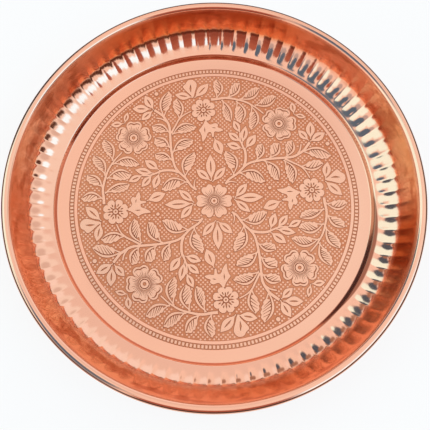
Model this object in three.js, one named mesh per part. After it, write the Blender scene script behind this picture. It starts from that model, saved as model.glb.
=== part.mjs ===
// Pooja plate: a round dish of copper sheet with an engraved floor, a step, a fluted wall
// and an edge that is rolled over a wire.
// Millimetres, +Z up. The origin is the middle of the flat underside that the plate stands on.
import * as THREE from "three";

// Driving dimensions of the sheet, measured on its middle line from the centre outwards
const sheetThickness = 0.7;
const floorDiameter = 172.6; // flat floor, up to the foot of the step
const stepRise = 3.2;
const stepSlope = 65; // degrees above the horizon, as all slopes here
const stepFillet = 1.0;
const coveRadius = 19.2; // hollow curve that leads from the step into the wall
const coveFootSlope = 14;
const wallRadius = 50; // the wall above the cove is almost straight
const wallFootSlope = 59;
const wallTopSlope = 73;

// Rolled edge and the wire inside it
const wireDiameter = 2.8;
const wireClearance = 0.3;
const wireButtGap = 0.6; // between the wire's two cut ends
const curlSweep = 290; // degrees that the sheet goes round the wire

// Flutes pressed into the cove and the foot of the wall, measured along the sheet from the step
const fluteCount = 84;
const fluteDepth = 0.5; // ridge to hollow, where they are deepest
const fluteStart = 0.5;
const fluteRise = 4.5; // run over which they deepen
const flutePlateau = 9.5; // run at full depth
const fluteFade = 12.5; // run over which they die out up the wall

// Engraved field of the floor: a sunk border, a raised ring and the sunk ground inside it
const engravingDepth = 0.25;
const engravingFlank = 0.15; // run of the sloping sides of the cuts
const plainRingWidth = 6.1; // from the step to the border
const borderWidth = 2.8;
const fieldRingWidth = 1.6;

// Fineness of the facets
const plainSegments = fluteCount; // round the plate where it is plain
const flutedSegments = 2 * fluteCount; // a facet edge on each ridge and in each hollow
const filletSteps = 2;
const coveSteps = 5;
const wallSteps = 4;
const curlSteps = 9;
const wireSteps = 84;
const wireSides = 5; // facets on each half of the wire's section

const radians = THREE.MathUtils.degToRad;
const halfSheet = sheetThickness / 2;
const curlRadius = wireDiameter / 2 + wireClearance + halfSheet; // of the sheet's middle line
const copper = new THREE.MeshStandardMaterial({ color: 0xe8a284, roughness: 0.18, metalness: 1 });
const steel = new THREE.MeshStandardMaterial({ color: 0x9a9a98, roughness: 0.45, metalness: 1 });

// Height of a flute's ridge over the plain sheet, at a distance along the sheet from the step.
function fluteHeight(distance) {
  const full = fluteStart + fluteRise;
  const fading = full + flutePlateau;
  const rise = THREE.MathUtils.smoothstep(distance, fluteStart, full);
  const fall = 1 - THREE.MathUtils.smoothstep(distance, fading, fading + fluteFade);
  return (fluteDepth / 2) * rise * fall;
}

// Follows the sheet's middle line, as a pen that draws lines and arcs from the axis outwards.
// Each station keeps its place, its heading and the height of the flutes there.
function drawMiddleLine() {
  const pen = { r: 0, z: halfSheet, heading: 0 };
  const stations = [{ ...pen, flute: 0 }];
  let fluteDistance = 0;

  const advance = (length) => {
    pen.r += length * Math.cos(pen.heading);
    pen.z += length * Math.sin(pen.heading);
  };
  const line = (length) => {
    advance(length);
    stations.push({ ...pen, flute: 0 });
  };
  const arc = (radius, turn, steps, fluted = false) => {
    const chord = 2 * radius * Math.sin(Math.abs(turn) / steps / 2);
    for (let i = 0; i < steps; i++) {
      pen.heading += turn / steps / 2;
      advance(chord);
      pen.heading += turn / steps / 2;
      if (fluted) fluteDistance += chord;
      stations.push({ ...pen, flute: fluted ? fluteHeight(fluteDistance) : 0 });
    }
  };

  const riser = radians(stepSlope);
  const coveFoot = radians(coveFootSlope);
  const wallFoot = radians(wallFootSlope);
  const wallTop = radians(wallTopSlope);
  const filletRise = stepFillet * (1 + Math.cos(coveFoot) - 2 * Math.cos(riser));

  line(floorDiameter / 2);
  arc(stepFillet, riser, filletSteps);
  line((stepRise - filletRise) / Math.sin(riser));
  arc(stepFillet, coveFoot - riser, filletSteps);
  arc(coveRadius, wallFoot - coveFoot, coveSteps, true);
  arc(wallRadius, wallTop - wallFoot, wallSteps, true);

  const curlCentre = {
    r: pen.r + curlRadius * Math.sin(pen.heading),
    z: pen.z - curlRadius * Math.cos(pen.heading),
  };
  arc(curlRadius, -radians(curlSweep), curlSteps);
  return { stations, curlCentre };
}

// A ring of points round the plate's axis; at(angle) gives the radius and height there.
function ring(segments, at) {
  const points = [];
  for (let k = 0; k < segments; k++) {
    const angle = (2 * Math.PI * k) / segments;
    const [r, z] = at(angle);
    points.push(new THREE.Vector3(r * Math.cos(angle), r * Math.sin(angle), z));
  }
  return points;
}

// One ring of points at a station, on the upper (side 1) or the lower (side -1) face of the sheet.
// Facets meet at a mitre, so the sheet keeps its thickness through the arcs.
function sheetRing(stations, i, side) {
  const here = stations[i];
  const before = stations[i - 1];
  const after = stations[i + 1];
  const entering = Math.atan2(here.z - before.z, here.r - before.r);
  const leaving = after ? Math.atan2(after.z - here.z, after.r - here.r) : here.heading;
  const bend = Math.atan2(Math.sin(leaving - entering), Math.cos(leaving - entering));
  const facing = entering + bend / 2 + Math.PI / 2;
  const reach = (side * halfSheet) / Math.cos(bend / 2);
  const segments = here.flute > 0 ? flutedSegments : plainSegments;
  return ring(segments, (angle) => {
    const lift = reach + here.flute * Math.cos(fluteCount * angle);
    return [here.r + lift * Math.cos(facing), here.z + lift * Math.sin(facing)];
  });
}

// The engraved field on the upper face of the floor, from the middle to the border's outer edge.
function engravedRings() {
  const top = sheetThickness;
  const sunk = sheetThickness - engravingDepth;
  const borderOuter = floorDiameter / 2 - plainRingWidth;
  const borderInner = borderOuter - borderWidth;
  const field = borderInner - fieldRingWidth;
  const outline = [
    [field - engravingFlank, sunk],
    [field, top],
    [borderInner, top],
    [borderInner + engravingFlank, sunk],
    [borderOuter - engravingFlank, sunk],
    [borderOuter, top],
  ];
  const middle = [new THREE.Vector3(0, 0, sunk)];
  return [middle, ...outline.map((point) => ring(plainSegments, () => point))];
}

// Closes a skin over rings that lie one after another. Neighbours have the same number of points,
// or one has twice as many, or one is a single point.
function skin(rings) {
  const positions = [];
  const index = [];
  const starts = rings.map((points) => {
    const start = positions.length / 3;
    points.forEach((p) => positions.push(p.x, p.y, p.z));
    return start;
  });
  for (let i = 0; i + 1 < rings.length; i++) {
    const a = rings[i].length;
    const b = rings[i + 1].length;
    const most = Math.max(a, b);
    const inner = (k) => starts[i] + (Math.floor((k * a) / most) % a);
    const outer = (k) => starts[i + 1] + (Math.floor((k * b) / most) % b);
    for (let k = 0; k < most; k++) {
      if (inner(k) !== inner(k + 1)) index.push(inner(k), outer(k), inner(k + 1));
      if (outer(k) !== outer(k + 1)) index.push(inner(k + 1), outer(k), outer(k + 1));
    }
  }
  const geometry = new THREE.BufferGeometry();
  geometry.setAttribute("position", new THREE.Float32BufferAttribute(positions, 3));
  geometry.setIndex(index);
  return geometry;
}

// The whole sheet: floor, step, fluted wall and rolled edge in one piece of copper.
function makeDish(stations) {
  const last = stations.length - 1;
  const upper = engravedRings();
  for (let i = 1; i <= last; i++) upper.push(sheetRing(stations, i, 1));
  const lower = [];
  for (let i = last; i >= 1; i--) lower.push(sheetRing(stations, i, -1));
  lower.push([new THREE.Vector3(0, 0, 0)]);

  const geometry = skin([...upper, ...lower]);
  geometry.computeVertexNormals();
  const mesh = new THREE.Mesh(geometry, copper);
  mesh.name = "dish";
  return mesh;
}

// The wire that stiffens the edge, bent into a ring whose cut ends almost meet.
function makeRimWire(curlCentre) {
  class OpenRing extends THREE.Curve {
    getPoint(share, target = new THREE.Vector3()) {
      const gap = wireButtGap / curlCentre.r;
      const angle = gap / 2 + share * (2 * Math.PI - gap);
      return target.set(curlCentre.r * Math.cos(angle), curlCentre.r * Math.sin(angle), curlCentre.z);
    }
  }
  const section = new THREE.Shape().absarc(0, 0, wireDiameter / 2, 0, 2 * Math.PI);
  const geometry = new THREE.ExtrudeGeometry(section, {
    steps: wireSteps,
    curveSegments: wireSides,
    bevelEnabled: false,
    extrudePath: new OpenRing(),
  });
  const mesh = new THREE.Mesh(geometry, steel);
  mesh.name = "rim_wire";
  return mesh;
}

const { stations, curlCentre } = drawMiddleLine();
const beadRadius = curlRadius + halfSheet;
console.log(`across the rim: ${(2 * (curlCentre.r + beadRadius)).toFixed(2)} mm`);
console.log(`overall height: ${(curlCentre.z + beadRadius).toFixed(2)} mm`);
console.log(`rolled edge: ${(2 * beadRadius).toFixed(2)} mm thick`);

const plate = new THREE.Group();
plate.add(makeDish(stations), makeRimWire(curlCentre));

export default plate;
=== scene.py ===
# %% [markdown]
# # A pooja plate in copper
# The plate is one disc of copper sheet: a flat floor struck with flowers, a low step, a fluted
# wall and an edge rolled over a wire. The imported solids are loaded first, as the fixed frame that
# every piece has to fit. Lengths below are in millimetres and become metres when they are used.

# %% Load the frame
import math

import bmesh
import bpy
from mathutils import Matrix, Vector
from mathutils.bvhtree import BVHTree


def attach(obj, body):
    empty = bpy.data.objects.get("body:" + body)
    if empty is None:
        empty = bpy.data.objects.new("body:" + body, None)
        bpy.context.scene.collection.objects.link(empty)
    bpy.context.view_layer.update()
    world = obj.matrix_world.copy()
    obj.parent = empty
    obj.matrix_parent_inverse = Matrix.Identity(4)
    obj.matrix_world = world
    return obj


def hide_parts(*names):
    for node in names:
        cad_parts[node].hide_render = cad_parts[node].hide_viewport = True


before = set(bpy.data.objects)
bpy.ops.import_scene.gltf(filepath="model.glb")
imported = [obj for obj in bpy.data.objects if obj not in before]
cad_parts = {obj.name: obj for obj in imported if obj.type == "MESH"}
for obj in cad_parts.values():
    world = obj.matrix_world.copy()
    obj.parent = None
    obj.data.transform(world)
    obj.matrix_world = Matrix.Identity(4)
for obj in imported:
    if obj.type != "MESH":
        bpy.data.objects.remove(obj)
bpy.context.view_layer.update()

MM = 0.001
scene = bpy.context.scene
scene.view_settings.view_transform = "Standard"

# %% [markdown]
# ## Camera
# The plate is seen from almost straight above, a little from the near side, from close by. The
# distance was found by fitting ellipses to the rings of the plate: near and far rings differ in
# size, and only one distance explains both.

# %% Camera
FRAME_SIZE = 430  # pixels, both ways
CAMERA_DISTANCE = 327.1  # from the middle of the floor's upper face
CAMERA_TILT = math.radians(15.1)
FOCAL_PIXELS = 590
SHIFT_PIXELS = (0.8, -14.2)  # the plate's middle isn't quite the middle of the frame
SENSOR = 36
FLOOR_TOP = 0.7

bpy.ops.object.select_all(action="DESELECT")
bpy.ops.object.camera_add(
    location=(
        0,
        -CAMERA_DISTANCE * math.sin(CAMERA_TILT) * MM,
        (CAMERA_DISTANCE * math.cos(CAMERA_TILT) + FLOOR_TOP) * MM,
    ),
    rotation=(CAMERA_TILT, 0, 0),
)
camera = bpy.context.object
camera.name = "camera"
camera.data.sensor_width = SENSOR
camera.data.lens = FOCAL_PIXELS / FRAME_SIZE * SENSOR
camera.data.shift_x = SHIFT_PIXELS[0] / FRAME_SIZE
camera.data.shift_y = SHIFT_PIXELS[1] / FRAME_SIZE
scene.camera = camera
print("camera", [round(c / MM) for c in camera.location], "mm, lens", round(camera.data.lens, 1))

# %% [markdown]
# ## Finishes
# All the copper is one metal. What differs is the polish: the floor ring, the wall and the tops of
# the flowers are buffed until they mirror the room, while the struck ground between the flowers is
# matt and brown, because no buffing wheel reaches it. Light and shade are also painted into the
# colour. The wall is a deeper copper with painted reflections and painted shade in places, the step's
# riser and the flanks of the pattern carry painted shade, and a painted dark reflection lies on the
# shoulder of the rolled edge and in one corner of the step. One image could hold all that, but noise
# and soft masks need no image. Every finish reads Object coordinates, so the pattern stays with the piece.

# %% Node helpers
def new_finish(name, metallic):
    material = bpy.data.materials.new(name)
    material.use_nodes = True
    shader = material.node_tree.nodes["Principled BSDF"]
    shader.inputs["Metallic"].default_value = metallic
    return material, material.node_tree, shader


def node(tree, kind, inputs=(), **settings):
    made = tree.nodes.new(kind)
    for key, value in settings.items():
        setattr(made, key, value)
    for key, value in dict(inputs).items():
        if isinstance(value, bpy.types.NodeSocket):
            tree.links.new(value, made.inputs[key])
        else:
            made.inputs[key].default_value = value
    return made


def math_node(tree, operation, first, second=0.0):
    return node(tree, "ShaderNodeMath", {0: first, 1: second}, operation=operation).outputs[0]


def blend_colour(tree, factor, first, second):
    made = node(tree, "ShaderNodeMix", {0: factor, 6: first, 7: second}, data_type="RGBA")
    return made.outputs[2]


def ease(tree, value, low, high, start=0.0, end=1.0):
    limits = {"Value": value, "From Min": low, "From Max": high, "To Min": start, "To Max": end}
    made = node(tree, "ShaderNodeMapRange", limits, interpolation_type="SMOOTHSTEP")
    return made.outputs[0]


print("node helpers ready")

# %% Masks and grain
def band(tree, value, start, full, fade, end):
    """1 from full to fade and 0 outside start and end, all in millimetres."""
    up = ease(tree, value, start * MM, full * MM)
    down = ease(tree, value, fade * MM, end * MM, 1.0, 0.0)
    return math_node(tree, "MULTIPLY", up, down)


def object_place(tree):
    return node(tree, "ShaderNodeTexCoord").outputs["Object"]


def plate_parts(tree, place):
    """Distance from the plate's axis, distance towards the far side, and height."""
    parts = node(tree, "ShaderNodeSeparateXYZ", {0: place}).outputs
    squares = [math_node(tree, "MULTIPLY", parts[i], parts[i]) for i in (0, 1)]
    radius = math_node(tree, "SQRT", math_node(tree, "ADD", *squares))
    return radius, parts[1], parts[2]


def nearness(tree, place, spot, inner, outer):
    """1 within inner millimetres of a spot, falling to 0 at outer."""
    inputs = {0: place, 1: [c * MM for c in spot]}
    away = node(tree, "ShaderNodeVectorMath", inputs, operation="DISTANCE").outputs["Value"]
    return ease(tree, away, inner * MM, outer * MM, 1.0, 0.0)


def cloud(tree, place, size, detail=2.0):
    """Soft noise whose patches are about this many metres across."""
    made = node(tree, "ShaderNodeTexNoise", {"Vector": place, "Scale": 1 / size, "Detail": detail})
    return made.outputs["Fac"]


def turning_lines(tree, radius, per_metre):
    """Fine rings round the axis, as a lathe or a drawing die leaves them."""
    inputs = {"W": math_node(tree, "MULTIPLY", radius, per_metre)}
    return node(tree, "ShaderNodeTexNoise", inputs, noise_dimensions="1D").outputs["Fac"]


def add_bump(tree, shader, height, strength, distance):
    inputs = {"Strength": strength, "Distance": distance, "Height": height}
    tree.links.new(node(tree, "ShaderNodeBump", inputs).outputs[0], shader.inputs["Normal"])


print("masks and grain ready")

# %% Tints, painted reflections and painted shade of the polished copper
COPPER, DULL_COPPER = (0.955, 0.500, 0.342, 1), (0.90, 0.45, 0.30, 1)
# The wall's copper is deeper and redder than the floor's: painted reflection of copper in copper.
WALL_COPPER, STREAK = (0.97, 0.405, 0.230, 1), (0.58, 0.155, 0.065, 1)
# The step's riser is a darker copper: painted shade in the step.
STEP_PAINTED_SHADE = (0.64, 0.245, 0.152, 1)
# A dark rim on the shoulder of the rolled edge: a painted dark reflection.
RIM_PAINTED_REFLECTION = (0.105, 0.034, 0.019, 1)
# A dark crescent in one corner outside the step: a painted dark reflection.
CORNER_PAINTED_REFLECTION = (0.32, 0.100, 0.055, 1)
CORNER_MIDDLE, CORNER_REACH, CORNER_WIDTH = (82, -32, 3), 45, 2.7
WALL_BAND = (98.2, 100.4, 104.6, 105.4)  # radii
RISER_BAND = (0.9, 1.4, 2.1, 3.0)  # heights
CORNER_BAND = (87.2, 88.0, 87.4, 88.0)  # radii; the outer two are moved out by the corner's width
SHOULDER_RADIUS, SHOULDER_HEIGHT = (0.10852, 0.10866), (0.02422, 0.02442)
SHOULDER_LEAN = 0.0022  # the painted dark rim reaches further in on the far side
WALL_REFLECTION_HEIGHT = 18
# Lighter and darker places on the wall, each a spot, a size and a colour: painted reflections and painted
# shade.
WALL_PAINTED_REFLECTIONS = [
    ((99, 27), 30, (1.00, 0.470, 0.250, 1)),
    ((98, -27), 32, (0.62, 0.120, 0.036, 1)),
    ((86, -56), 22, (1.00, 0.400, 0.210, 1)),
    ((27, -99), 32, (0.90, 0.340, 0.165, 1)),
    ((-66, -76), 48, (1.00, 0.500, 0.290, 1)),
    ((-98, 27), 30, (1.00, 0.560, 0.360, 1)),
    ((-35, 97), 50, (0.88, 0.280, 0.110, 1)),
    ((27, 99), 36, (0.90, 0.300, 0.125, 1)),
]


def wall_copper_and_reflections(tree, place):
    """The wall's deeper copper, with painted reflections and painted shade in places, and its streaks."""
    colour = WALL_COPPER
    for (x, y), size, tint in WALL_PAINTED_REFLECTIONS:
        near = nearness(tree, place, (x, y, WALL_REFLECTION_HEIGHT), 0.3 * size, size)
        colour = blend_colour(tree, near, colour, tint)
    stretched = node(tree, "ShaderNodeMapping", {0: place, 3: (1, 1, 3)}).outputs[0]
    streaks = cloud(tree, stretched, 0.017, 4.0)
    return blend_colour(tree, ease(tree, streaks, 0.50, 0.63, 0.0, 0.68), colour, STREAK)


def step_corner(tree, place, radius):
    """Mask of a painted dark reflection outside the step: a crescent, widest at its middle."""
    near = nearness(tree, place, CORNER_MIDDLE, 0.2 * CORNER_REACH, CORNER_REACH)
    moved_in = math_node(tree, "SUBTRACT", radius, math_node(tree, "MULTIPLY", near, CORNER_WIDTH * MM))
    start, full, fade, end = [r * MM for r in CORNER_BAND]
    up, down = ease(tree, radius, start, full), ease(tree, moved_in, fade, end, 1.0, 0.0)
    corner = math_node(tree, "MULTIPLY", up, down)
    return math_node(tree, "MULTIPLY", corner, ease(tree, near, 0.0, 0.3, 0.0, 0.92))


print("tinted places on the wall:", len(WALL_PAINTED_REFLECTIONS))

# %% Polished copper
def make_polished_copper():
    material, tree, shader = new_finish("polished_copper", 1.0)
    place = object_place(tree)
    radius, far, height = plate_parts(tree, place)
    patches = cloud(tree, place, 0.03)
    colour = blend_colour(tree, ease(tree, patches, 0.3, 0.7, 0.0, 0.12), COPPER, DULL_COPPER)
    # the wall: a deeper copper with painted reflections and painted shade
    colour = blend_colour(tree, band(tree, radius, *WALL_BAND), colour, wall_copper_and_reflections(tree, place))
    # painted shade on the step's riser
    colour = blend_colour(tree, band(tree, height, *RISER_BAND), colour, STEP_PAINTED_SHADE)
    # painted dark reflection in one corner of the step
    colour = blend_colour(tree, step_corner(tree, place, radius), colour, CORNER_PAINTED_REFLECTION)
    # A painted dark reflection on the shoulder of the rolled edge: dark there, not metallic and less glossy.
    leaning = math_node(tree, "ADD", radius, math_node(tree, "MULTIPLY", far, SHOULDER_LEAN))
    outside, above = ease(tree, leaning, *SHOULDER_RADIUS), ease(tree, height, *SHOULDER_HEIGHT)
    shoulder = math_node(tree, "MULTIPLY", outside, above)
    tree.links.new(blend_colour(tree, shoulder, colour, RIM_PAINTED_REFLECTION), shader.inputs["Base Color"])
    outside_rim_shade = math_node(tree, "SUBTRACT", 1.0, shoulder)
    tree.links.new(outside_rim_shade, shader.inputs["Metallic"])
    tree.links.new(math_node(tree, "MULTIPLY", outside_rim_shade, 0.5), shader.inputs["Specular IOR Level"])
    rings = turning_lines(tree, radius, 9000.0)
    dull = ease(tree, patches, 0.3, 0.7, 0.08, 0.13)
    gloss = math_node(tree, "ADD", dull, math_node(tree, "MULTIPLY", rings, 0.03))
    tree.links.new(gloss, shader.inputs["Roughness"])
    add_bump(tree, shader, rings, 0.05, 0.00002)
    return material


polished_copper = make_polished_copper()
print(polished_copper.name, "of", len(polished_copper.node_tree.nodes), "nodes")

# %% Copper of the raised pattern
RELIEF_COPPER, WORN_RELIEF = (0.99, 0.535, 0.362, 1), (0.92, 0.46, 0.30, 1)


def make_relief_copper():
    material, tree, shader = new_finish("relief_copper", 1.0)
    place = object_place(tree)
    patches = cloud(tree, place, 0.02)
    grain = cloud(tree, place, 0.0008, 3.0)
    colour = blend_colour(tree, ease(tree, patches, 0.3, 0.7, 0.0, 0.3), RELIEF_COPPER, WORN_RELIEF)
    tree.links.new(colour, shader.inputs["Base Color"])
    tree.links.new(ease(tree, grain, 0.2, 0.8, 0.24, 0.36), shader.inputs["Roughness"])
    add_bump(tree, shader, grain, 0.12, 0.00003)
    return material


relief_copper = make_relief_copper()
print(relief_copper.name, "of", len(relief_copper.node_tree.nodes), "nodes")

# %% Struck ground, the flanks of the pattern, and the wire
STRUCK_LOW, STRUCK_HIGH = (0.58, 0.187, 0.086, 1), (0.80, 0.300, 0.150, 1)
STRUCK_BRIGHT = (0.87, 0.38, 0.21, 1)
# The flanks of the pattern are darker than the ground: left unbuffed, and darker still as painted shade.
FLANK_SHADE_LOW, FLANK_SHADE_HIGH = (0.36, 0.092, 0.034, 1), (0.50, 0.148, 0.060, 1)
EDGE_SHEEN = (0.50, 0.20, 0.10, 1)
WIRE_STEEL, WIRE_RUST = (0.56, 0.55, 0.53, 1), (0.33, 0.22, 0.15, 1)


def make_struck_copper():
    material, tree, shader = new_finish("struck_copper", 1.0)
    place = object_place(tree)
    grain = cloud(tree, place, 0.0006, 3.0)
    patches = cloud(tree, place, 0.04)
    colour = blend_colour(tree, grain, STRUCK_LOW, STRUCK_HIGH)
    colour = blend_colour(tree, ease(tree, patches, 0.35, 0.65, 0.0, 0.35), colour, STRUCK_BRIGHT)
    tree.links.new(colour, shader.inputs["Base Color"])
    tree.links.new(ease(tree, grain, 0.2, 0.8, 0.36, 0.55), shader.inputs["Roughness"])
    add_bump(tree, shader, grain, 0.25, 0.00004)
    return material


def make_shaded_flank_copper():
    material, tree, shader = new_finish("shaded_flank_copper", 1.0)
    grain = cloud(tree, object_place(tree), 0.0006, 3.0)
    tree.links.new(blend_colour(tree, grain, FLANK_SHADE_LOW, FLANK_SHADE_HIGH), shader.inputs["Base Color"])
    shader.inputs["Specular Tint"].default_value = EDGE_SHEEN
    tree.links.new(ease(tree, grain, 0.2, 0.8, 0.40, 0.60), shader.inputs["Roughness"])
    add_bump(tree, shader, grain, 0.2, 0.00003)
    return material


def make_drawn_wire():
    material, tree, shader = new_finish("drawn_wire", 1.0)
    place = object_place(tree)
    lines = turning_lines(tree, plate_parts(tree, place)[0], 14000.0)
    rust = cloud(tree, place, 0.012, 4.0)
    colour = blend_colour(tree, ease(tree, rust, 0.55, 0.75, 0.0, 0.5), WIRE_STEEL, WIRE_RUST)
    tree.links.new(colour, shader.inputs["Base Color"])
    tree.links.new(ease(tree, lines, 0.2, 0.8, 0.30, 0.48), shader.inputs["Roughness"])
    add_bump(tree, shader, lines, 0.15, 0.00003)
    return material


struck_copper = make_struck_copper()
shaded_flank_copper = make_shaded_flank_copper()
drawn_wire = make_drawn_wire()
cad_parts["rim_wire"].data.materials.clear()
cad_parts["rim_wire"].data.materials.append(drawn_wire)
print("finishes:", struck_copper.name, shaded_flank_copper.name, drawn_wire.name)

# %% [markdown]
# ## The sheet
# The real plate is spun and pressed from one disc, so its section is the same all round apart from
# the flutes. It could be lofted ring by ring. Here one narrow sector is modelled: the section is
# drawn as a chain of extruded points, spun through one flute, pressed, and then copied round the
# axis 84 times and merged, which is how a learner would do it by hand.

# %% Sizes of the sheet
SHEET = 0.7
FLOOR_RADIUS = 86.3
STEP_RISE, STEP_SLOPE, STEP_FILLET = 3.2, 65, 1.0
COVE_RADIUS, COVE_FOOT = 19.2, 14
WALL_RADIUS, WALL_FOOT, WALL_TOP = 50, 59, 73
CURL_RADIUS, CURL_SWEEP = 2.05, 290
STRUCK_DEPTH, STRUCK_FLANK = 0.25, 0.15
BORDER_OUTER, BORDER_INNER, FIELD_RADIUS = 80.2, 77.4, 75.8
print("floor", 2 * FLOOR_RADIUS, "mm across, sheet", SHEET, "mm thick")

# %% Shape of a flute
FLUTES = 84
FLUTE_DEPTH = 0.5
FLUTE_START, FLUTE_FULL, FLUTE_FADE, FLUTE_END = 0.5, 5.0, 14.5, 27.0
FLUTE_SECOND, FLUTE_THIRD = 0.2, 0.086  # shares of the finer waves in a flute


def eased(x):
    x = min(1.0, max(0.0, x))
    return x * x * (3 - 2 * x)


def flute_height(distance):
    rise = eased((distance - FLUTE_START) / (FLUTE_FULL - FLUTE_START))
    fall = eased((FLUTE_END - distance) / (FLUTE_END - FLUTE_FADE))
    return FLUTE_DEPTH / 2 * rise * fall


def flute_shape(turn):
    """From 1 on a ridge to -1 in a hollow; ridges are broad and hollows are narrow."""
    wave = math.cos(turn) - FLUTE_SECOND * math.cos(2 * turn) + FLUTE_THIRD * math.cos(3 * turn)
    return (wave + FLUTE_SECOND) / (1 + FLUTE_THIRD)


print(FLUTES, "flutes, ridges", flute_height(FLUTE_FULL), "mm high")

# %% Section of the sheet
def middle_line(fine):
    """Stations (radius, height, heading, flute height) along the middle of the sheet."""
    pen = [0.0, SHEET / 2, 0.0]
    stations = [(*pen, 0.0)]
    along = [0.0]

    def line(length):
        pen[0] += length * math.cos(pen[2])
        pen[1] += length * math.sin(pen[2])
        stations.append((*pen, 0.0))

    def arc(radius, turn, steps, fluted=False):
        chord = 2 * radius * math.sin(abs(turn) / steps / 2)
        for _ in range(steps):
            pen[2] += turn / steps / 2
            pen[0] += chord * math.cos(pen[2])
            pen[1] += chord * math.sin(pen[2])
            pen[2] += turn / steps / 2
            along[0] += chord if fluted else 0
            stations.append((*pen, flute_height(along[0]) if fluted else 0.0))

    riser, foot = math.radians(STEP_SLOPE), math.radians(COVE_FOOT)
    wall, top = math.radians(WALL_FOOT), math.radians(WALL_TOP)
    fillet_rise = STEP_FILLET * (1 + math.cos(foot) - 2 * math.cos(riser))
    line(FLOOR_RADIUS)
    arc(STEP_FILLET, riser, 5 if fine else 3)
    line((STEP_RISE - fillet_rise) / math.sin(riser))
    arc(STEP_FILLET, foot - riser, 5 if fine else 3)
    arc(COVE_RADIUS, wall - foot, 18 if fine else 9, True)
    arc(WALL_RADIUS, top - wall, 8 if fine else 4, True)
    arc(CURL_RADIUS, -math.radians(CURL_SWEEP), 20 if fine else 11)
    return stations


def offset_line(stations, side):
    """The upper (1) or lower (-1) face of the sheet: (radius, height, facing, flute height)."""
    rows = []
    for i, (r, z, heading, flute) in enumerate(stations):
        before = stations[max(i - 1, 0)]
        after = stations[min(i + 1, len(stations) - 1)]
        entering = math.atan2(z - before[1], r - before[0]) if i else 0.0
        leaving = math.atan2(after[1] - z, after[0] - r) if after[:2] != (r, z) else heading
        bend = math.remainder(leaving - entering, 2 * math.pi)
        facing = entering + bend / 2 + math.pi / 2
        reach = side * SHEET / 2 / math.cos(bend / 2)
        rows.append((r + reach * math.cos(facing), z + reach * math.sin(facing), facing, flute))
    return rows


sunk = SHEET - STRUCK_DEPTH
struck_floor = [
    (0.0, sunk),
    (FIELD_RADIUS - STRUCK_FLANK, sunk),
    (FIELD_RADIUS, SHEET),
    (BORDER_INNER, SHEET),
    (BORDER_INNER + STRUCK_FLANK, sunk),
    (BORDER_OUTER - STRUCK_FLANK, sunk),
    (BORDER_OUTER, SHEET),
]
section = [(r, z, math.pi / 2, 0.0) for r, z in struck_floor]
section += offset_line(middle_line(True), 1)[1:]
section += offset_line(middle_line(False), -1)[::-1]
print("section of", len(section), "points; widest", round(max(p[0] for p in section), 2), "mm")

# %% Draw the section and spin one sector
SECTOR_STEPS = 10
SECTOR = 2 * math.pi / FLUTES
PLATE_AXIS = {"center": (0, 0, 0), "axis": (0, 0, 1)}


def start_chain(name, place):
    """A mesh with one selected point, in edit mode: a plane whose corners are merged."""
    bpy.ops.object.select_all(action="DESELECT")
    bpy.ops.mesh.primitive_plane_add(size=0.001, location=(0, 0, 0))
    piece = bpy.context.object
    piece.name = piece.data.name = name
    bpy.ops.object.mode_set(mode="EDIT")
    bpy.ops.mesh.merge(type="CENTER")
    bpy.ops.transform.translate(value=place)
    return piece


def draw_chain(name, points):
    piece = start_chain(name, points[0])
    for here, there in zip(points, points[1:]):
        move = [b - a for a, b in zip(here, there)]
        bpy.ops.mesh.extrude_vertices_move(TRANSFORM_OT_translate={"value": move})
    return piece


plate_sheet = draw_chain("plate_sheet", [(r * MM, 0, z * MM) for r, z, *_ in section])
bpy.ops.mesh.select_all(action="SELECT")
bpy.ops.mesh.spin(steps=SECTOR_STEPS, angle=SECTOR, **PLATE_AXIS)
bpy.ops.object.mode_set(mode="OBJECT")
print("sector:", len(plate_sheet.data.vertices), "points")

# %% Press the flute and copy the sector round
CROWDING = 0.45  # moves the sector's points towards the narrow hollow
SHEET_WELD = 0.004


def copy_round(count):
    """Copies what is selected in edit mode round the plate's axis, to this number in all."""
    bpy.ops.mesh.spin(steps=count - 1, dupli=True, angle=2 * math.pi / count * (count - 1), **PLATE_AXIS)
    bpy.ops.mesh.select_all(action="SELECT")


def press_flute(mesh):
    pressed = 0
    for vertex in mesh.vertices:
        radius = math.hypot(vertex.co.x, vertex.co.y)
        here = (radius / MM, vertex.co.z / MM)
        facing, flute = min(section, key=lambda row: math.dist(row[:2], here))[2:]
        if not flute:
            continue
        turn = FLUTES * math.atan2(vertex.co.y, vertex.co.x)
        turn += CROWDING * math.sin(turn)
        angle = turn / FLUTES
        lift = flute * MM * flute_shape(turn)
        radius += lift * math.cos(facing)
        height = vertex.co.z + lift * math.sin(facing)
        vertex.co = (radius * math.cos(angle), radius * math.sin(angle), height)
        pressed += 1
    return pressed


pressed = press_flute(plate_sheet.data)
bpy.ops.object.mode_set(mode="EDIT")
bpy.ops.mesh.select_all(action="SELECT")
copy_round(FLUTES)
bpy.ops.mesh.remove_doubles(threshold=SHEET_WELD * MM)
bpy.ops.mesh.normals_make_consistent(inside=False)
bpy.ops.object.mode_set(mode="OBJECT")
print("pressed", pressed, "points; sheet of", len(plate_sheet.data.polygons), "faces")

# %% Finish the sheet
STRUCK_TOP = SHEET - 0.05  # faces of the floor below this are struck
STRUCK_FACING = 0.2  # and face at least this far upwards
SMOOTH_UP_TO = math.radians(30)


def finish_sheet(piece):
    """Polished all over, apart from the sunk ground and the sides of its cuts."""
    piece.data.materials.append(polished_copper)
    piece.data.materials.append(struck_copper)
    for face in piece.data.polygons:
        radius = math.hypot(face.center.x, face.center.y) / MM
        low = face.center.z / MM < STRUCK_TOP
        if radius < BORDER_OUTER and low and face.normal.z > STRUCK_FACING:
            face.material_index = 1
    bpy.ops.object.shade_smooth_by_angle(angle=SMOOTH_UP_TO)
    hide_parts("dish")
    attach(piece, "root")


finish_sheet(plate_sheet)
print("struck faces:", sum(f.material_index for f in plate_sheet.data.polygons))

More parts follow.
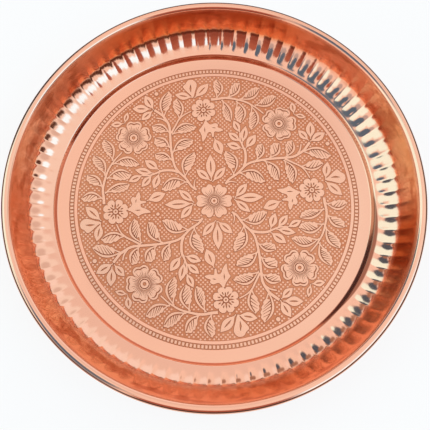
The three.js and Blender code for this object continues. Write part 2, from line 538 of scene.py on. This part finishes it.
# %% [markdown]
# ## Raised outlines
# A die strikes the ground down and leaves the flowers standing at the level of the plain floor. Each
# leaf or petal could be sculpted, but all of them are flat-topped shapes with sloping sides, so each
# is drawn as a flat curve: an outline, with the dark slits as holes in it, filled, thickened and
# bevelled, and then turned into a mesh. Shapes that meet are set a few thousandths of a millimetre
# apart in height, so that no two tops lie in one plane.

# %% Lines and bands
def curved(points, steps=6, closed=False):
    """A smooth line through given points."""
    points = [Vector(p) for p in points]
    count = len(points)
    spans = count if closed else count - 1
    line = []
    for i in range(spans):
        around = [k % count if closed else min(max(k, 0), count - 1) for k in (i - 1, i, i + 1, i + 2)]
        a, b, c, d = (points[k] for k in around)
        square, cube = 2 * a - 5 * b + 4 * c - d, 3 * b - a - 3 * c + d
        for s in range(steps):
            t = s / steps
            line.append(0.5 * (2 * b + (c - a) * t + square * t**2 + cube * t**3))
    return line if closed else line + [points[-1]]


def sideways(line):
    """The left-hand direction at each point of a line."""
    sides = []
    for i in range(len(line)):
        ahead = line[min(i + 1, len(line) - 1)] - line[max(i - 1, 0)]
        sides.append(Vector((-ahead.y, ahead.x)).normalized())
    return sides


def ribbon(line, widths):
    """Outline of a band along a line; widths gives the half width at a share of its length."""
    sides = sideways(line)
    last = len(line) - 1
    half = [widths(i / last) for i in range(last + 1)]
    left = [p + s * h for p, s, h in zip(line, sides, half)]
    right = [p - s * h for p, s, h in zip(line, sides, half)]
    return left + right[::-1]


def slit(line, width):
    """Outline of a cut that is pointed at both ends."""
    return ribbon(line, lambda t: width / 2 * (0.16 + 0.84 * math.sin(math.pi * t)))


print("a line through three points has", len(curved([(0, 0), (1, 1), (2, 0)])), "points")

# %% From outlines to a piece
GROUND = sunk
BEVEL = 0.24
SIDE = 0.01
RELIEF_WELD = 0.002


def raise_shape(name, outlines, lower=0.0):
    """A closed, bevelled solid from an outline and the holes in it; its top is flush or lower."""
    flat = bpy.data.curves.new(name, "CURVE")
    flat.dimensions = "2D"
    flat.fill_mode = "BOTH"
    flat.extrude = SIDE
    flat.bevel_depth = BEVEL
    flat.bevel_resolution = 0
    for outline in outlines:
        spline = flat.splines.new("POLY")
        spline.points.add(len(outline) - 1)
        for point, (x, y) in zip(spline.points, outline):
            point.co = (x, y, 0, 1)
        spline.use_cyclic_u = True
    shape = bpy.data.objects.new(name, flat)
    scene.collection.objects.link(shape)
    shape.location.z = (GROUND - lower) * MM
    shape.scale = (MM, MM, MM)
    return shape


def turn_into_mesh(shapes, name):
    """One mesh from drawn shapes, welded, with its place applied."""
    bpy.ops.object.select_all(action="DESELECT")
    for shape in shapes:
        shape.select_set(True)
    bpy.context.view_layer.objects.active = shapes[0]
    bpy.ops.object.convert(target="MESH")
    bpy.ops.object.transform_apply(location=True, rotation=True, scale=True)
    bpy.ops.object.join()
    piece = bpy.context.object
    piece.name = piece.data.name = name
    bpy.ops.object.mode_set(mode="EDIT")
    bpy.ops.mesh.select_all(action="SELECT")
    bpy.ops.mesh.remove_doubles(threshold=RELIEF_WELD * MM)
    bpy.ops.mesh.normals_make_consistent(inside=False)
    bpy.ops.object.mode_set(mode="OBJECT")
    return piece


print("shapes rise", SIDE + BEVEL, "mm over the ground")

# %% Four quarters and their finish
def turn_four_ways(piece):
    """Copies a quarter of the pattern to the other three quarters."""
    quarters = [piece]
    for k in (1, 2, 3):
        bpy.ops.object.select_all(action="DESELECT")
        piece.select_set(True)
        bpy.context.view_layer.objects.active = piece
        bpy.ops.object.duplicate()
        copy = bpy.context.object
        copy.rotation_euler = (0, 0, -k * math.pi / 2)
        bpy.ops.object.transform_apply(location=True, rotation=True, scale=True)
        quarters.append(copy)
    bpy.ops.object.select_all(action="DESELECT")
    for quarter in quarters:
        quarter.select_set(True)
    bpy.context.view_layer.objects.active = piece
    bpy.ops.object.join()
    return piece


def finish_relief(piece, flat_enough=0.85):
    """Polished tops, matt flanks in a darker copper that is partly painted shade, and the piece rides on the
    plate.
    """
    piece.data.materials.clear()
    piece.data.materials.append(relief_copper)
    piece.data.materials.append(shaded_flank_copper)
    for face in piece.data.polygons:
        # faces that slope get the darker copper, partly painted shade
        face.material_index = 0 if face.normal.z > flat_enough else 1
    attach(piece, "root")
    piece.data.calc_loop_triangles()
    print(piece.name, len(piece.data.loop_triangles), "triangles")


print("relief is finished in", relief_copper.name, "and", shaded_flank_copper.name)

# %% [markdown]
# ## Stems
# The vine starts beside the middle flower and runs outwards in each quarter. A stem could be a round
# tube along a path, but on the plate it is a flat-topped band that narrows along its line. So it is
# drawn from a few points and two widths, and the finished quarter is turned four ways.

# %% Stems of one quarter
STEMS = [  # points, half width at the root, half width at the tip
    (
        [(-6.3, -9.7), (-8.4, -12.6), (-13, -15.9), (-17.4, -20.4), (-21.3, -22.6), (-28.8, -24.2),
         (-34, -24.8), (-40.3, -25.3), (-45, -26), (-49.9, -28.9), (-52, -31.2), (-54.4, -34.6)],
        0.62,
        0.75,
    ),
    ([(-40, -24.6), (-44.8, -22.2), (-48.8, -20.1), (-51.5, -17.2), (-53.6, -13.3)], 0.6, 0.35),
    ([(-16.6, -20), (-17.6, -23), (-17.8, -26.3), (-17.6, -28.8), (-17, -30.8)], 0.75, 0.7),
    ([(-17, -30.5), (-15.7, -33.5), (-14.8, -36.3), (-14.6, -40.2)], 0.6, 0.4),
    (
        [(2, -61), (-1.5, -61.3), (-5.4, -62), (-9.2, -61.8), (-13.1, -61), (-16.2, -60.2), (-19.2, -59),
         (-21.9, -57.4), (-24.6, -55.6), (-28.5, -52.2)],
        0.8,
        0.4,
    ),
    ([(-7, -10.6), (-9.6, -11.2), (-12.6, -10.6)], 0.5, 0.25),
    ([(-47, -27.4), (-48.7, -30), (-49.4, -33.4)], 0.5, 0.4),
]
STEM_DROP = 0.003  # each stem lies this much lower than the one before


def stem(points, root, tip):
    line = curved(points)
    return [ribbon(line, lambda t: root + (tip - root) * t)]


stems = [raise_shape("stem", stem(*s), STEM_DROP * i) for i, s in enumerate(STEMS)]
vine_stems = turn_four_ways(turn_into_mesh(stems, "vine_stems"))
finish_relief(vine_stems)

# %% [markdown]
# ## Veined leaves
# Each of these has one bold, smooth side and one lobed side, with dark veins cut between them at a
# slant. Every leaf could be traced point by point, but they all grow in the same way. So one function
# draws a leaf in its own directions, along and across, from its base, its tip and how far each side
# bulges.

# %% Places of the veined leaves
VEINED = [  # base, tip, bulge of the bold side, bulge of the lobed side
    ((-13.6, -16.2), (-28.6, -11.0), 4.4, -1.4),
    ((-28.3, -23.6), (-36.0, -11.8), 3.7, -1.7),
    ((-39.3, -24.0), (-43.8, -10.0), 4.3, -1.0),
    ((-48.3, -20.3), (-61.7, -21.9), -3.0, 2.2),
    ((-10.8, -15.0), (-6.2, -29.3), -4.7, 1.3),
    ((-23.9, -23.8), (-27.2, -33.8), -2.4, 2.2),
    ((-31.3, -25.2), (-37.0, -34.0), -2.6, 2.9),
    ((-40.6, -25.7), (-44.3, -35.9), -2.8, 2.1),
    ((-49.6, -28.7), (-66.3, -26.4), 3.7, -2.1),
    ((-4.4, -60.8), (-9.4, -47.0), 2.5, -2.2),
    ((-12.8, -60.2), (-15.0, -46.2), 4.0, -1.9),
    ((-21.5, -57.2), (-21.0, -42.0), 4.2, -0.9),
    ((-23.4, -57.4), (-36.2, -63.1), -3.3, 1.9),
    ((-14.8, -61.2), (-26.6, -68.4), -3.3, 1.8),
    ((-7.6, -62.2), (-14.9, -71.6), -2.7, 2.2),
    ((-1.3, -61.8), (-1.0, -74.0), -3.6, 1.3),
]
print("veined leaves in a quarter:", len(VEINED))

# %% Shape of a veined leaf
SPINE = 1.2  # widest, in the middle of the leaf
GROOVE = 0.55
STALK = 0.8
TAIL_SHARE = 0.26  # of the leaf's length, before the lobes start
LOBE, LOBE_PITCH = 0.65, 2.6
LOBE_SHAPE = ((0.0, 0.0), (0.35, 0.6), (0.65, 1.0), (0.88, 0.75))  # leans towards the tip
RIM = 0.6  # left between the end of a vein and the lobed edge
VEIN_CUT = 0.5
SLANT = 0.8


def hump(u, lean):
    """Bulge of a side from base to tip; more lean moves its widest place towards the tip."""
    w = u**lean
    return 4 * w * (1 - w)


def veined_leaf(base, tip, bold, lobed):
    """Outlines of the spine and of the blade, a comb whose back is the lobed edge."""
    base, tip = Vector(base), Vector(tip)
    along = tip - base
    side = math.copysign(1, bold)
    across = Vector((-along.y, along.x)).normalized() * side

    def at(u, v):
        return base + along * u + across * v

    def back(u):
        return (side * bold + SPINE / 2) * hump(u, 1.1)

    def thick(u):
        return SPINE * (0.6 + 0.4 * math.sin(math.pi * u) - 0.45 * eased((u - 0.75) / 0.25))

    def groove(u):
        return back(u) - thick(u) - GROOVE

    def edge(u):
        return side * lobed * hump(u, 1.7)

    shares = [i / 24 for i in range(25)]
    spine = [at(u, back(u)) for u in shares] + [at(u, back(u) - thick(u)) for u in reversed(shares)]

    open_shares = [i / 80 for i in range(81) if groove(i / 80) - edge(i / 80) > STALK + 0.2]
    first, last = max(open_shares[0], TAIL_SHARE), open_shares[-1]
    reach = last - first
    lobes = max(3, round(reach * along.length / LOBE_PITCH))
    tail = [first * k / 8 for k in range(9)]
    blade = [at(u, edge(u)) for u in tail[:-1]]
    for k in range(lobes):
        for part, bulge in LOBE_SHAPE:
            u = first + reach * (k + part) / lobes
            blade.append(at(u, edge(u) - LOBE * bulge))

    closing = [last + (1 - last) * i / 4 for i in range(4)]  # blade and spine meet in one tip
    blade += [at(u, edge(u)) for u in closing]
    blade += [at(u, back(u) - thick(u) / 2) for u in [1.0] + closing[:0:-1]]
    blade.append(at(last, groove(last)))

    half = VEIN_CUT / 2 / along.length  # veins, from the tip back to the base
    free = last
    for k in range(2 * lobes - 1, 0, -1):
        u = first + reach * k / (2 * lobes)
        width = groove(u) - edge(u)
        root = u - SLANT * width / along.length
        if width < RIM + 0.4 or root + 3 * half > free or root - half < first + 0.01:
            continue
        free = root
        depth = edge(u) + RIM
        blade += [
            at(root + half, groove(root + half)),
            at(u + 0.5 * half, depth),
            at(u - 0.5 * half, depth),
            at(root - half, groove(root - half)),
        ]
    blade.append(at(first, groove(first)))
    blade += [at(u, edge(u) + STALK) for u in reversed(tail)]
    return [spine], [blade]


print("points of the first leaf:", [len(part[0]) for part in veined_leaf(*VEINED[0])])

# %% Veined leaves of one quarter
VEINED_DROP, LEAF_STEP, BLADE_STEP = 0.018, 0.002, 0.001  # first leaf, next leaf, blade below spine
leaves = []
for i, leaf in enumerate(VEINED):
    for k, part in enumerate(veined_leaf(*leaf)):
        leaves.append(raise_shape("leaf", part, VEINED_DROP + LEAF_STEP * i + BLADE_STEP * k))
veined_leaves = turn_four_ways(turn_into_mesh(leaves, "veined_leaves"))
finish_relief(veined_leaves)

# %% [markdown]
# ## Plain leaves, lily and bell
# The smaller leaves have one cut along the middle, and one function draws them all from the base, the
# tip and half the width. The lily and the bell are free shapes that no short rule describes, so their
# outlines pass through listed points.

# %% Shape of a plain leaf
PLAIN = [  # base, tip, half width
    ((-16.2, -30.8), (-6.9, -33.7), 2.3),
    ((-17.8, -30.8), (-23.8, -39.3), 2.5),
    ((-15.2, -34.7), (-7.9, -40.6), 2.1),
    ((-16, -33.8), (-18.1, -44.7), 2.1),
    ((-15, -40), (-11, -48), 2.0),
    ((-54.5, -35), (-63.5, -40.5), 2.6),
    ((-55, -36.5), (-55.2, -47.5), 2.6),
    ((-54, -35.5), (-48, -42), 2.2),
    ((-11.5, -1.5), (-27.5, -2.3), 2.7),
    ((-11, -1), (-20, 6.5), 2.2),
    ((-11.5, -1.8), (-18.5, -10.2), 2.3),
    ((-46, -51.5), (-53, -50), 1.5),
    ((-46, -52), (-45, -59.5), 1.9),
    ((-62, -11.5), (-71.3, -3.2), 2.7),
    ((-62.3, -12.5), (-64, -23), 2.4),
    ((-37.5, 0), (-27, 4.3), 2.9),
]


def plain_leaf(base, tip, half):
    base, tip = Vector(base), Vector(tip)
    axis = [base.lerp(tip, i / 20) for i in range(21)]

    def swell(t):
        stalk, blade = 0.3 * (1 - t), max(0.0, (t - 0.08) / 0.92)
        return max(stalk, half * math.sin(math.pi * blade) ** 1.1)

    cut = [base.lerp(tip, t) for t in (0.3, 0.45, 0.6, 0.74)]
    return [ribbon(axis, swell), slit(cut, 0.85)]


print("plain leaves in a quarter:", len(PLAIN))

# %% Outlines of the lily and the bell
LILY = [
    (-62, -12.3), (-66, -11.2), (-70, -10.2), (-72.3, -11), (-73.6, -13), (-73, -15.6), (-71, -16.8),
    (-69.2, -18.4), (-67, -17), (-64, -14),
]
LILY_CUT = [(-65.5, -13.6), (-68, -13.9), (-70.5, -13.8)]
BELL = [
    (-48, -5), (-45.5, -2.5), (-46.3, 0.5), (-45.2, 2.3), (-43.8, 2.0), (-43.0, 4.0), (-41.8, 5.2),
    (-40.9, 2.5), (-41.0, 0.2), (-38.0, -0.2), (-38.0, -1.2), (-40.6, -1.9), (-40.2, -3.6), (-37.5, -4.6),
    (-34.9, -6.6), (-38.5, -7.2), (-40.5, -8.0), (-41.8, -8.8), (-43.5, -7.6), (-45.5, -6.3),
]
BELL_CUT = [(-43.8, -5.4), (-42, -5.4), (-40.4, -5.3)]
BELL_MOUTH_CUT = [(-43.6, -1.2), (-43.4, 0), (-43.2, 1.0)]


def cut_through(points, width):
    return slit([Vector(p) for p in points], width)


lily = [curved(LILY, 4, True), cut_through(LILY_CUT, 1.1)]
bell = [curved(BELL, 4, True), cut_through(BELL_CUT, 0.6), cut_through(BELL_MOUTH_CUT, 0.5)]
print("outlines of the lily and the bell:", len(lily), len(bell))

# %% Plain leaves, lily and bell of one quarter
PLAIN_DROP, FREE_DROP = 0.017, 0.03
leaves = []
for i, leaf in enumerate(PLAIN):
    leaves.append(raise_shape("leaf", plain_leaf(*leaf), PLAIN_DROP + LEAF_STEP * i))
leaves += [raise_shape("lily", lily, FREE_DROP), raise_shape("bell", bell, FREE_DROP)]
plain_leaves = turn_four_ways(turn_into_mesh(leaves, "plain_leaves"))
finish_relief(plain_leaves)

# %% [markdown]
# ## Flowers
# Three kinds: one in the middle with six notched petals, a large one with five wavy petals in each
# quarter, and a small one with eight round petals. Petals could be modelled one by one and joined. On
# the two larger kinds they run into each other, so their whole edge is drawn by how far it is from the
# flower's middle at each angle. The small flower's petals stand apart, so each is a band of its own.

# %% Outlines of the larger flowers
RAY_WIDTH = 0.38
RAY_LENGTHS = (0.57, 0.72, 0.64)  # shares of the flower's reach
RAY_GAP = 0.35
PETAL_STEPS = 24
GROOVE_SHARES = (-0.7, -0.55, -0.4, -0.2, 0, 0.2, 0.4, 0.55, 0.7)
GROOVE_WIDTH = 0.75


def polar(middle, radius, angle):
    return Vector(middle) + Vector((math.cos(angle), math.sin(angle))) * radius


def round_outline(middle, radius, count=24):
    return [polar(middle, radius, 2 * math.pi * i / count) for i in range(count)]


def ray(middle, angle, start, end):
    """A cut that is widest near the eye and pointed at its outer end."""
    line = [polar(middle, start + (end - start) * k / 3, angle) for k in range(4)]
    return ribbon(line, lambda t: RAY_WIDTH / 2 * (1 - 0.6 * t))


def petalled(middle, petals, first, reach, notch, waist, groove, rays, inner):
    """A flower in one outline, with a groove inside each petal's edge and fine cuts round its eye."""
    span = math.pi / petals

    def edge(t):
        """Share of the reach at t from -1 to 1 across a petal."""
        body = waist + (1 - waist) * (1 - abs(t) ** 3.6) ** 0.55
        return body - notch * math.exp(-((t / 0.22) ** 2))

    outline = []
    cuts = []
    for k in range(petals):
        heading = first + 2 * math.pi * k / petals
        for i in range(PETAL_STEPS):
            t = -1 + 2 * i / PETAL_STEPS
            outline.append(polar(middle, reach * edge(t), heading + t * span))
        if groove:
            path = [polar(middle, reach * edge(t) - groove, heading + t * span) for t in GROOVE_SHARES]
            cuts.append(slit(path, GROOVE_WIDTH))
    ray_count = petals * rays
    for i in range(ray_count):
        angle = first + 2 * math.pi * (i + 0.5) / ray_count
        cuts.append(ray(middle, angle, inner + RAY_GAP, RAY_LENGTHS[i % 3] * reach))
    return [outline, round_outline(middle, inner)] + cuts


def eye(middle, outer, hole):
    return [round_outline(middle, outer), round_outline(middle, hole, 12)]


print("points along a petal's edge:", PETAL_STEPS)

# %% Petals of the small flower
PETAL_ROOT, PETAL_CUT = 1.9, (2.9, 3.8, 4.7)  # radii
SMALL_MIDDLE, SMALL_REACH = (-54.4, -6.2), 7.2
SMALL_HEADINGS = (120, 71, 26, -17, -63, -108, -152, 162)


def petal_swell(t):
    """Half width of a small flower's petal, from its narrow root to its dented end."""
    rounded = math.sqrt(max(0.0, 1 - max(0.0, (t - 0.66) / 0.34) ** 2))
    return 0.4 + 1.65 * eased(t / 0.62) * rounded - 0.36 * eased((t - 0.9) / 0.1)


def small_flower(middle, headings, reach):
    """Separate round petals, each with a slot."""
    shapes = []
    for heading in headings:
        angle = math.radians(heading)
        axis = [polar(middle, PETAL_ROOT + (reach - PETAL_ROOT) * i / 16, angle) for i in range(17)]
        cut = [polar(middle, r, angle) for r in PETAL_CUT]
        shapes.append([ribbon(axis, petal_swell), slit(cut, 0.8)])
    return shapes


petals = small_flower(SMALL_MIDDLE, SMALL_HEADINGS, SMALL_REACH)
print("petals of the small flower:", len(petals))

# %% Flowers of one quarter
BIG_MIDDLE = (-37.2, -46)
BERRIES = [((-64.5, -33.7), 1.2), ((-31, -7.6), 1.0)]
FLOWER_DROP, PETAL_DROP = 0.005, 0.003

big_flower = petalled(
    BIG_MIDDLE, petals=5, first=math.pi, reach=10.4, notch=0.09, waist=0.54, groove=1.35, rays=8, inner=2.75
)
quarter = [
    raise_shape("big_flower", big_flower, FLOWER_DROP),
    raise_shape("big_eye", eye(BIG_MIDDLE, 2.25, 1.0), FLOWER_DROP),
    raise_shape("small_eye", eye(SMALL_MIDDLE, 1.35, 0.5), FLOWER_DROP),
]
quarter += [raise_shape("berry", [round_outline(*berry, 14)], FLOWER_DROP) for berry in BERRIES]
for i, petal in enumerate(petals):
    quarter.append(raise_shape("petal", petal, FLOWER_DROP + PETAL_DROP * i))
outer_flowers = turn_four_ways(turn_into_mesh(quarter, "outer_flowers"))
finish_relief(outer_flowers)

# %% Middle flower
middle_petals = petalled(
    (0, 0), petals=6, first=0.0, reach=10.2, notch=0.1, waist=0.36, groove=0, rays=6, inner=2.25
)
MIDDLE_DROP = -0.002  # it stands a little higher than the stems
middle_shapes = [
    raise_shape("middle_flower", middle_petals, MIDDLE_DROP),
    raise_shape("middle_eye", eye((0, 0), 1.8, 0.7), MIDDLE_DROP),
]
middle_flower = turn_into_mesh(middle_shapes, "middle_flower")
finish_relief(middle_flower)

# %% [markdown]
# ## Border squares and ground dots
# A ring of small squares runs in the border, and the ground between the flowers is a field of dots
# in slanting rows. A bump map could imitate them, but real shapes also catch the light from low down.
# One of each is modelled. The square is copied by a duplicating spin. The dot is arrayed both ways,
# and the dots that a flower or leaf covers are taken away.

# %% Border squares
SQUARES = 244
SQUARE_SIZE, SQUARE_BEVEL, SQUARE_DROP = (2.1, 1.6, 0.5), 0.16, 0.02
bpy.ops.object.select_all(action="DESELECT")
bpy.ops.mesh.primitive_cube_add(size=1, location=(0, 0, 0))
border_squares = bpy.context.object
border_squares.name = border_squares.data.name = "border_squares"
bpy.ops.object.mode_set(mode="EDIT")
bpy.ops.transform.resize(value=[side * MM for side in SQUARE_SIZE])
square_height = FLOOR_TOP - SQUARE_DROP - SQUARE_SIZE[2] / 2
bpy.ops.transform.translate(value=((BORDER_OUTER + BORDER_INNER) / 2 * MM, 0, square_height * MM))
bpy.ops.mesh.bevel(offset=SQUARE_BEVEL * MM, segments=1, affect="EDGES")
bpy.ops.mesh.select_all(action="SELECT")
copy_round(SQUARES)
bpy.ops.mesh.normals_make_consistent(inside=False)
bpy.ops.object.mode_set(mode="OBJECT")
finish_relief(border_squares)

# %% Ground dots
DOT_PITCH = 1.68
DOT_COUNT = 92
DOT_RADIUS = 0.66
DOT_SINK = 0.05
DOT_STEPS = [(0.14, 0.94), (0.10, 0.86)]  # rise, then what is left of the width
bpy.ops.object.select_all(action="DESELECT")
bpy.ops.mesh.primitive_circle_add(vertices=8, radius=DOT_RADIUS * MM, fill_type="NGON", location=(0, 0, 0))
ground_dots = bpy.context.object
ground_dots.name = ground_dots.data.name = "ground_dots"
bpy.ops.object.mode_set(mode="EDIT")
bpy.ops.transform.translate(value=(0, 0, (GROUND - DOT_SINK) * MM))
for rise, width in DOT_STEPS:
    bpy.ops.mesh.extrude_region_move(TRANSFORM_OT_translate={"value": (0, 0, rise * MM)})
    bpy.ops.transform.resize(value=(width, width, 1))
bpy.ops.object.mode_set(mode="OBJECT")
dot_points = len(ground_dots.data.vertices)
for axis in (0, 1):
    array = ground_dots.modifiers.new("rows", "ARRAY")
    array.count = DOT_COUNT
    array.use_relative_offset = False
    array.use_constant_offset = True
    array.constant_offset_displace = [DOT_PITCH * MM if k == axis else 0 for k in range(3)]
    bpy.ops.object.modifier_apply(modifier=array.name)
middle = -(DOT_COUNT - 1) / 2 * DOT_PITCH * MM
ground_dots.location = (0, middle * math.sqrt(2), 0)
ground_dots.rotation_euler = (0, 0, math.pi / 4)
bpy.ops.object.transform_apply(location=True, rotation=True, scale=True)
print("dots before clearing:", len(ground_dots.data.vertices) // dot_points)

# %% Clear the dots under the pattern
DOT_CLEARANCE = 0.62  # round a dot's middle
FIELD_CLEARANCE = 0.55  # from the field's edge
LOOK_FROM = 10  # height from which the pattern is looked for
LOOK_TO = GROUND + 0.06


def tree_of(pieces):
    corners, faces = [], []
    for piece in pieces:
        start = len(corners)
        corners += [v.co.copy() for v in piece.data.vertices]
        faces += [[start + i for i in f.vertices] for f in piece.data.polygons]
    return BVHTree.FromPolygons(corners, faces)


relief = [vine_stems, veined_leaves, plain_leaves, outer_flowers, middle_flower]
pattern = tree_of(relief)


def covered(x, y, reach):
    """Whether the pattern stands at this place or right beside it."""
    if math.hypot(x, y) > (FIELD_RADIUS - FIELD_CLEARANCE) * MM:
        return True
    for i in range(7):
        angle = 2 * math.pi * i / 6
        step = reach * MM if i < 6 else 0
        above = Vector((x + step * math.cos(angle), y + step * math.sin(angle), LOOK_FROM * MM))
        if pattern.ray_cast(above, Vector((0, 0, -1)), (LOOK_FROM - LOOK_TO) * MM)[0]:
            return True
    return False


def clear_dots(piece, size):
    """Takes away every dot that the pattern covers; size is the number of points of one dot."""
    edit = bmesh.new()
    edit.from_mesh(piece.data)
    points = list(edit.verts)
    gone = []
    for start in range(0, len(points), size):
        dot = points[start : start + size]
        x = sum(p.co.x for p in dot) / size
        y = sum(p.co.y for p in dot) / size
        if covered(x, y, DOT_CLEARANCE):
            gone += dot
    bmesh.ops.delete(edit, geom=gone, context="VERTS")
    bmesh.ops.recalc_face_normals(edit, faces=edit.faces)
    edit.to_mesh(piece.data)
    edit.free()


clear_dots(ground_dots, dot_points)
finish_relief(ground_dots, 0.5)
print("dots kept:", len(ground_dots.data.vertices) // dot_points)

# %% [markdown]
# ## Stage and light
# The plate lies on a plain white floor in a soft, bright room. Lamps could light it, but polished
# copper shows whatever is around it, so the light is the room itself: white, with soft brighter and
# darker places on several sides, as a real room has.

# %% Floor
PAPER_LOW, PAPER_HIGH = (0.93, 0.93, 0.93, 1), (0.96, 0.96, 0.96, 1)
PAPER_GLOW = 0.85  # share of plain white where the floor is seen or mirrored; the rest takes shadow
FLOOR_SIZE, FLOOR_DROP = 12, 0.05  # metres, and millimetres below the plate


def make_floor_paper():
    material, tree, shader = new_finish("floor_paper", 0.0)
    fibres = cloud(tree, object_place(tree), 0.002, 3.0)
    tree.links.new(blend_colour(tree, fibres, PAPER_LOW, PAPER_HIGH), shader.inputs["Base Color"])
    shader.inputs["Roughness"].default_value = 0.9
    path = node(tree, "ShaderNodeLightPath").outputs
    mirrored = math_node(tree, "MAXIMUM", path["Is Glossy Ray"], path["Is Transmission Ray"])
    seen = math_node(tree, "MAXIMUM", path["Is Camera Ray"], mirrored)
    white = node(tree, "ShaderNodeEmission", {"Color": (1, 1, 1, 1), "Strength": 1.0})
    both = node(tree, "ShaderNodeMixShader", {0: math_node(tree, "MULTIPLY", seen, PAPER_GLOW)})
    tree.links.new(shader.outputs[0], both.inputs[1])
    tree.links.new(white.outputs[0], both.inputs[2])
    tree.links.new(both.outputs[0], tree.nodes["Material Output"].inputs["Surface"])
    return material


bpy.ops.object.select_all(action="DESELECT")
bpy.ops.mesh.primitive_plane_add(size=FLOOR_SIZE, location=(0, 0, -FLOOR_DROP * MM))
floor = bpy.context.object
floor.name = "floor"
floor.data.materials.append(make_floor_paper())
print("floor of", floor.dimensions.x, "m")

# %% Places in the room
WHITE = (0.99, 0.99, 0.99)
WINDOW, BRIGHT = (1.03, 1.66, 1.78), (1.05, 1.92, 2.65)
SHADE, SLATE = (0.09, 0.155, 0.245), (0.11, 0.24, 0.42)
UMBER, TAN = (0.10, 0.05, 0.035), (0.40, 0.28, 0.22)
DARK_REDS = {10: (0.13, 0.05, 0.04), 25: (0.31, 0.11, 0.08), 40: (0.38, 0.14, 0.10), 51: (0.45, 0.18, 0.13)}
WINDOWS = [(152, 16), (152, 31), (150, 46), (171, 14), (171, 29), (168, 44), (190, 27), (192, 14), (161, 58)]
SLATES = [(178, 72, 5), (191, 67, 7), (206, 61, 9), (213, 52, 11), (220, 46, 9), (206, 72, 5)]
SHADES = [(124, 14, 5), (130, 20, 9), (135, 24, 13), (141, 22, 10), (143, 11, 6)]

places = [  # heading, elevation, inner and outer radius in degrees, colour, and sometimes an amount
    (15, 40, 25, 55, (0.99, 1.12, 1.18)),
    (68, 10, 14, 26, (1.02, 1.15, 1.25)),
    (18, 22, 8, 20, (0.78, 0.80, 0.82)),
    (72, 48, 14, 26, (0.90, 0.90, 0.92)),
]
places += [(h, e, 8, 14, BRIGHT) for h, e in ((304, 44), (322, 41), (345, 40))]
places += [(h, e, 9, 13, WINDOW) for h, e in WINDOWS]
places += [(h, e, size, size + 3, SLATE) for h, e, size in SLATES]
places += [(220, 31, 9, 14, SLATE, 0.5)]
places += [(h, e, 8, 12, red) for h in (254, 270, 286) for e, red in DARK_REDS.items()]
places += [(h, e, 7, 11, UMBER) for h, e in ((300, 8), (314, 9), (328, 12), (342, 15))]
places += [(h, e, size, size + 3, SHADE) for h, e, size in SHADES]
places += [(h, e, 5, 9, TAN) for h, e in ((111, 14), (121, 14))]
print("places in the room:", len(places))

# %% Room light
HORIZON = (0.065, 0.115)  # below this the room is white, as the floor is


def add_place(tree, towards, colour, heading, elevation, inner, outer, tint, amount=1.0):
    """A soft round place of this tint, laid over the room's colour."""
    a, e = math.radians(heading), math.radians(elevation)
    middle = (math.cos(a) * math.cos(e), math.sin(a) * math.cos(e), math.sin(e))
    share = node(tree, "ShaderNodeVectorMath", {0: towards, 1: middle}, operation="DOT_PRODUCT")
    limits = [math.cos(math.radians(radius)) for radius in (outer, inner)]
    inside = ease(tree, share.outputs["Value"], *limits, 0.0, amount)
    return blend_colour(tree, inside, colour, (*tint, 1))


def make_room():
    world = bpy.data.worlds.new("room")
    scene.world = world
    world.use_nodes = True
    tree = world.node_tree
    towards = node(tree, "ShaderNodeTexCoord").outputs["Generated"]
    height = node(tree, "ShaderNodeSeparateXYZ", {0: towards}).outputs[2]
    colour = (*WHITE, 1)
    for row in places:
        colour = add_place(tree, towards, colour, *row)
    colour = blend_colour(tree, ease(tree, height, *HORIZON), (*WHITE, 1), colour)
    background = tree.nodes["Background"]
    tree.links.new(colour, background.inputs["Color"])
    background.inputs["Strength"].default_value = 1.0


make_room()
print("room light ready")
